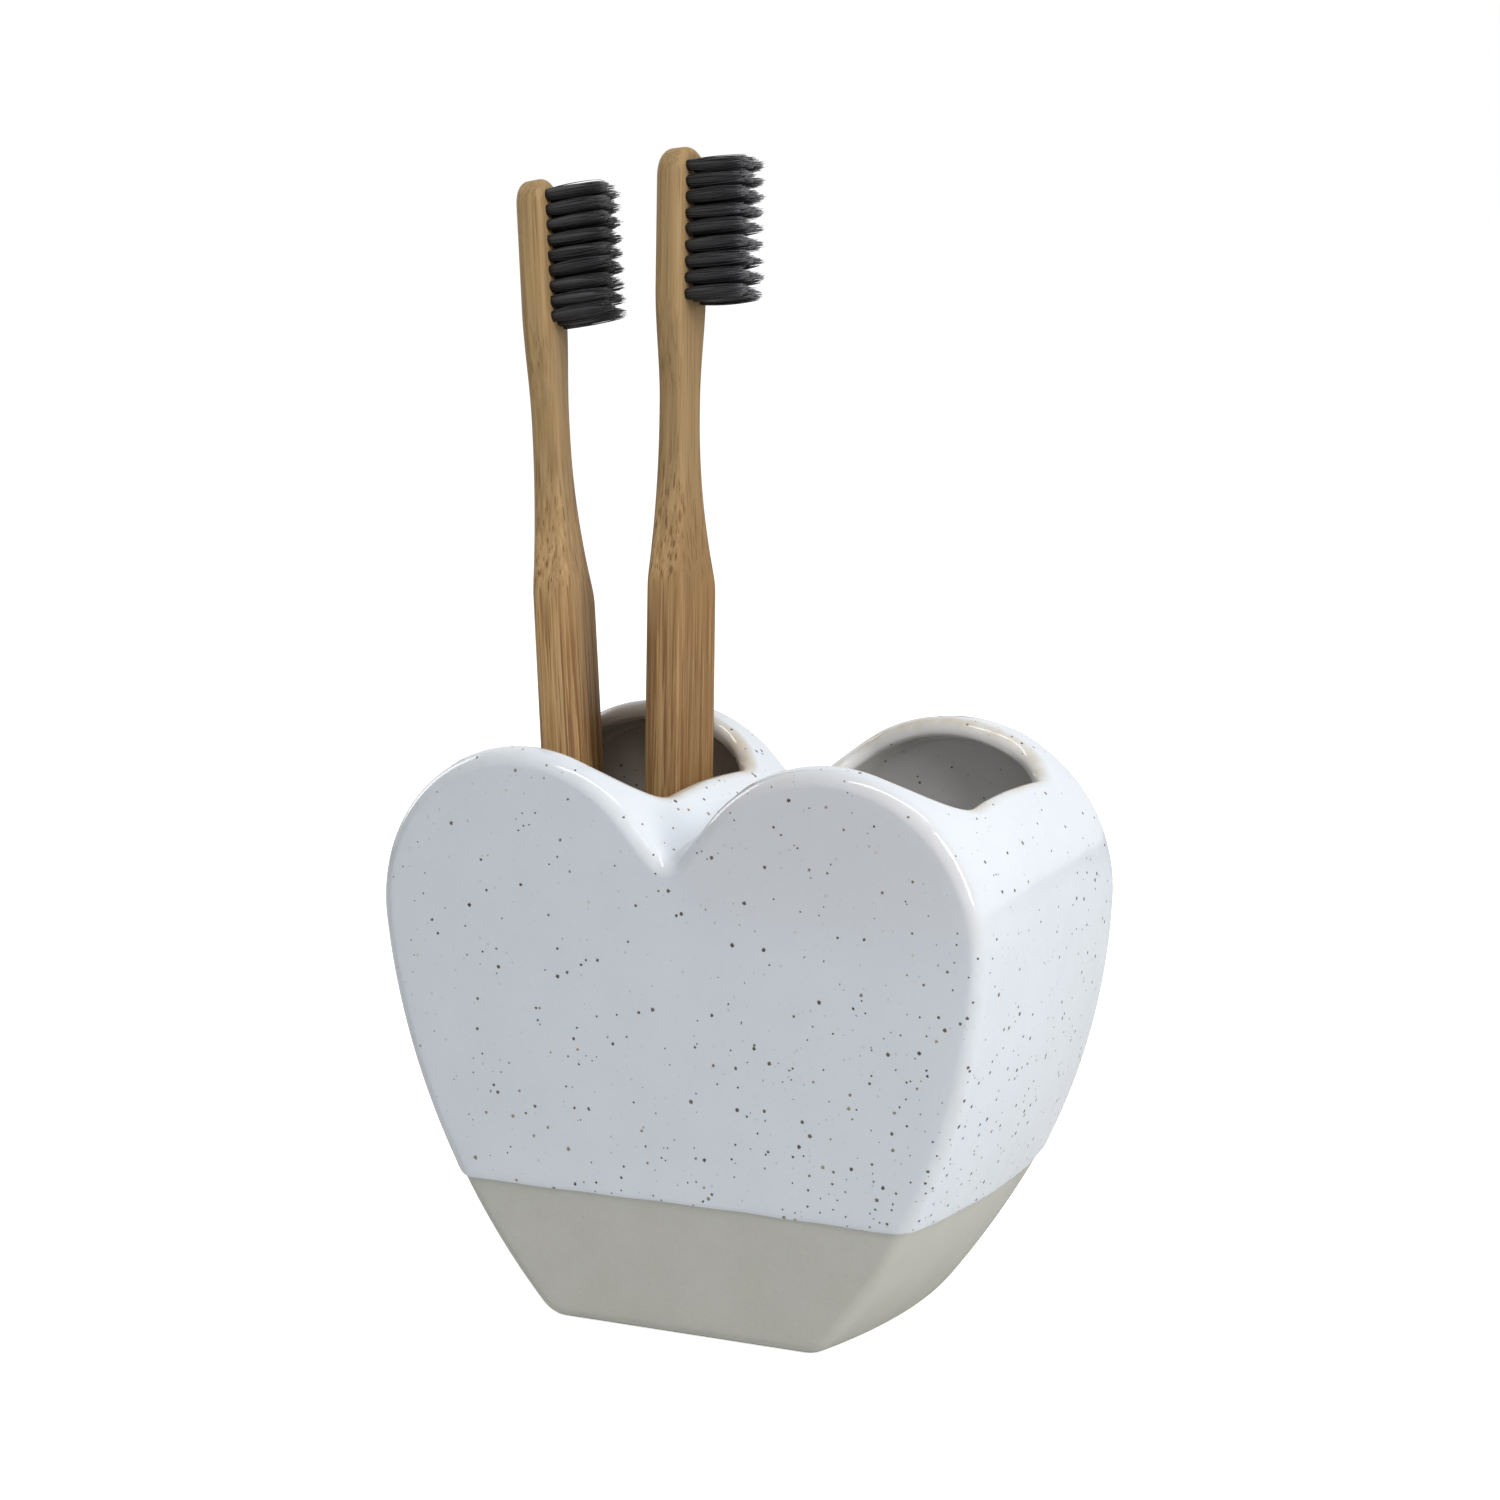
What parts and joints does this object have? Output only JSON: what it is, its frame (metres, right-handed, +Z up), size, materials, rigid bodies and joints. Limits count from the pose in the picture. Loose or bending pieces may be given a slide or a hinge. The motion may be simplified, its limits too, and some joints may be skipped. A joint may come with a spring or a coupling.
{
  "type": "toothbrush holder",
  "caption": "Heart-shaped stoneware toothbrush holder with an open mouth in each lobe, speckled white glaze above a bare clay foot, and bamboo brushes that lift out.",
  "frame": {"origin": "middle of the flat base the holder stands on", "axes": "+Z up, +X to the right as seen from the front, +Y to the back"},
  "size_m": [0.1131, 0.0661, 0.1851],
  "materials": {
    "stoneware": "bare, matt, fine grain",
    "glaze": "glossy, brown specks",
    "bamboo": "sanded, long fibres",
    "bristle": "charcoal filament",
    "anchor": "plain strip"
  },
  "bodies": {
    "holder": {"clay_body": "stoneware", "glaze_coat": "glaze"},
    "left_brush": {"left_brush_handle": "bamboo", "left_brush_tuft_row_1": "bristle", "left_brush_tuft_row_2": "bristle", "left_brush_tuft_row_3": "bristle", "left_brush_tuft_row_4": "bristle", "left_brush_tuft_row_5": "bristle", "left_brush_tuft_row_6": "bristle", "left_brush_tuft_row_7": "bristle", "left_brush_tuft_row_8": "bristle", "left_brush_tuft_row_9": "bristle", "left_brush_anchors": "anchor"},
    "right_brush": {"right_brush_handle": "bamboo", "right_brush_tuft_row_1": "bristle", "right_brush_tuft_row_2": "bristle", "right_brush_tuft_row_3": "bristle", "right_brush_tuft_row_4": "bristle", "right_brush_tuft_row_5": "bristle", "right_brush_tuft_row_6": "bristle", "right_brush_tuft_row_7": "bristle", "right_brush_tuft_row_8": "bristle", "right_brush_tuft_row_9": "bristle", "right_brush_anchors": "anchor"}
  },
  "joints": [
    {"name": "left_brush_lift", "type": "slide", "parent": "holder", "child": "left_brush", "axis": [-0.1863, 0.2705, 0.9445], "range_m": [0, 0.1]},
    {"name": "right_brush_lift", "type": "slide", "parent": "holder", "child": "right_brush", "axis": [-0.0782, 0.2216, 0.972], "range_m": [0, 0.1]}
  ]
}
